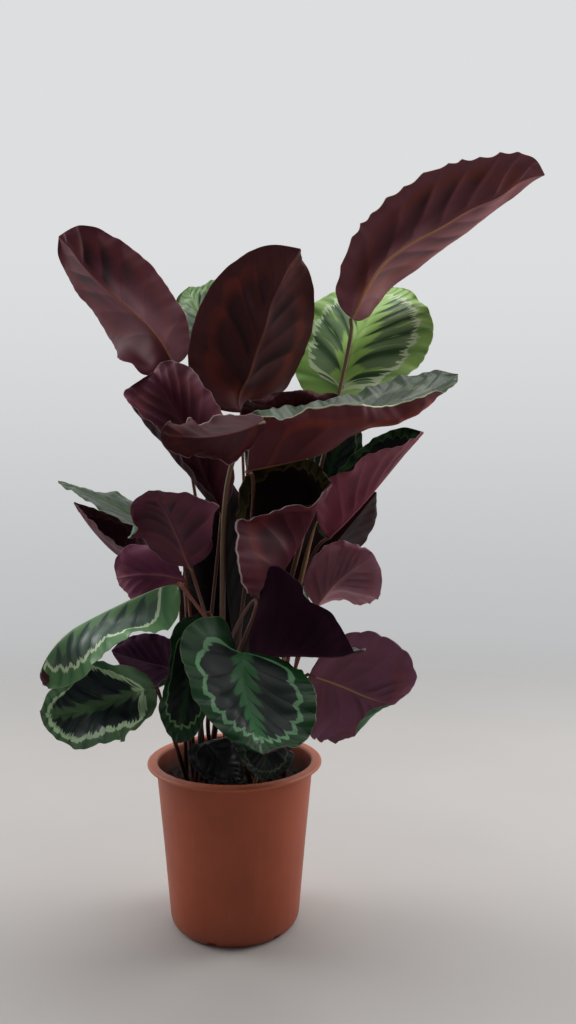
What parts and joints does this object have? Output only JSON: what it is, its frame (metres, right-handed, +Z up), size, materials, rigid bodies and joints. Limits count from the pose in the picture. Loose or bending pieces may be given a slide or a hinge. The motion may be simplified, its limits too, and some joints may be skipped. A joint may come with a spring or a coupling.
{
  "type": "potted calathea",
  "caption": "Medallion calathea with broad patterned leaves, green above and burgundy beneath, on slender stalks in a terracotta-coloured plastic nursery pot.",
  "frame": {"origin": "centre of the pot's foot, on the surface that the pot stands on", "axes": "+Z up out of the pot, -Y towards the front of the plant, +X to the right seen from the front"},
  "size_m": [0.6925, 0.536, 1.0625],
  "materials": {
    "pot": "matte terracotta-coloured injection-moulded plastic",
    "soil": "moist dark peat potting soil with bark fibres",
    "blade_upper": "satin leaf surface, dark green with pale feathered medallion ring, burgundy beneath",
    "blade_underside": "satin burgundy leaf underside with a redder ring, green patterned above",
    "stalk": "smooth olive-brown fleshy stalk",
    "furled_tan": "smooth tan rolled young leaf"
  },
  "bodies": {
    "root": {"pot": "pot", "soil": "soil", "leaf_01_blade": "blade_underside", "leaf_01_stalk": "stalk", "leaf_02_blade": "blade_underside", "leaf_02_stalk": "stalk", "leaf_03_blade": "blade_underside", "leaf_03_stalk": "stalk", "leaf_04_blade": "blade_upper", "leaf_04_stalk": "stalk", "leaf_05_blade": "blade_upper", "leaf_05_stalk": "stalk", "leaf_06_blade": "blade_underside", "leaf_06_stalk": "stalk", "leaf_07_blade": "blade_underside", "leaf_07_stalk": "stalk", "leaf_08_blade": "blade_underside", "leaf_08_stalk": "stalk", "leaf_09_blade": "blade_underside", "leaf_09_stalk": "stalk", "leaf_10_blade": "blade_underside", "leaf_10_stalk": "stalk", "leaf_11_blade": "blade_upper", "leaf_11_stalk": "stalk", "leaf_12_blade": "blade_upper", "leaf_12_stalk": "stalk", "leaf_13_blade": "blade_underside", "leaf_13_stalk": "stalk", "leaf_14_blade": "blade_upper", "leaf_14_stalk": "stalk", "leaf_15_blade": "blade_upper", "leaf_15_stalk": "stalk", "leaf_16_blade": "blade_underside", "leaf_16_stalk": "stalk", "leaf_17_blade": "blade_underside", "leaf_17_stalk": "stalk", "leaf_18_blade": "blade_upper", "leaf_18_stalk": "stalk", "leaf_19_blade": "blade_upper", "leaf_19_stalk": "stalk", "leaf_20_blade": "blade_upper", "leaf_20_stalk": "stalk", "leaf_21_blade": "blade_underside", "leaf_21_stalk": "stalk", "leaf_22_blade": "blade_underside", "leaf_22_stalk": "stalk", "leaf_23_blade": "blade_underside", "leaf_23_stalk": "stalk", "leaf_24_blade": "blade_underside", "leaf_24_stalk": "stalk", "leaf_25_blade": "blade_upper", "leaf_25_stalk": "stalk", "leaf_26_blade": "blade_underside", "leaf_26_stalk": "stalk", "leaf_27_blade": "blade_underside", "leaf_27_stalk": "stalk", "leaf_28_blade": "blade_upper", "leaf_28_stalk": "stalk", "furled_leaf_tan": "furled_tan", "furled_leaf_purple": "blade_underside"}
  },
  "joints": []
}
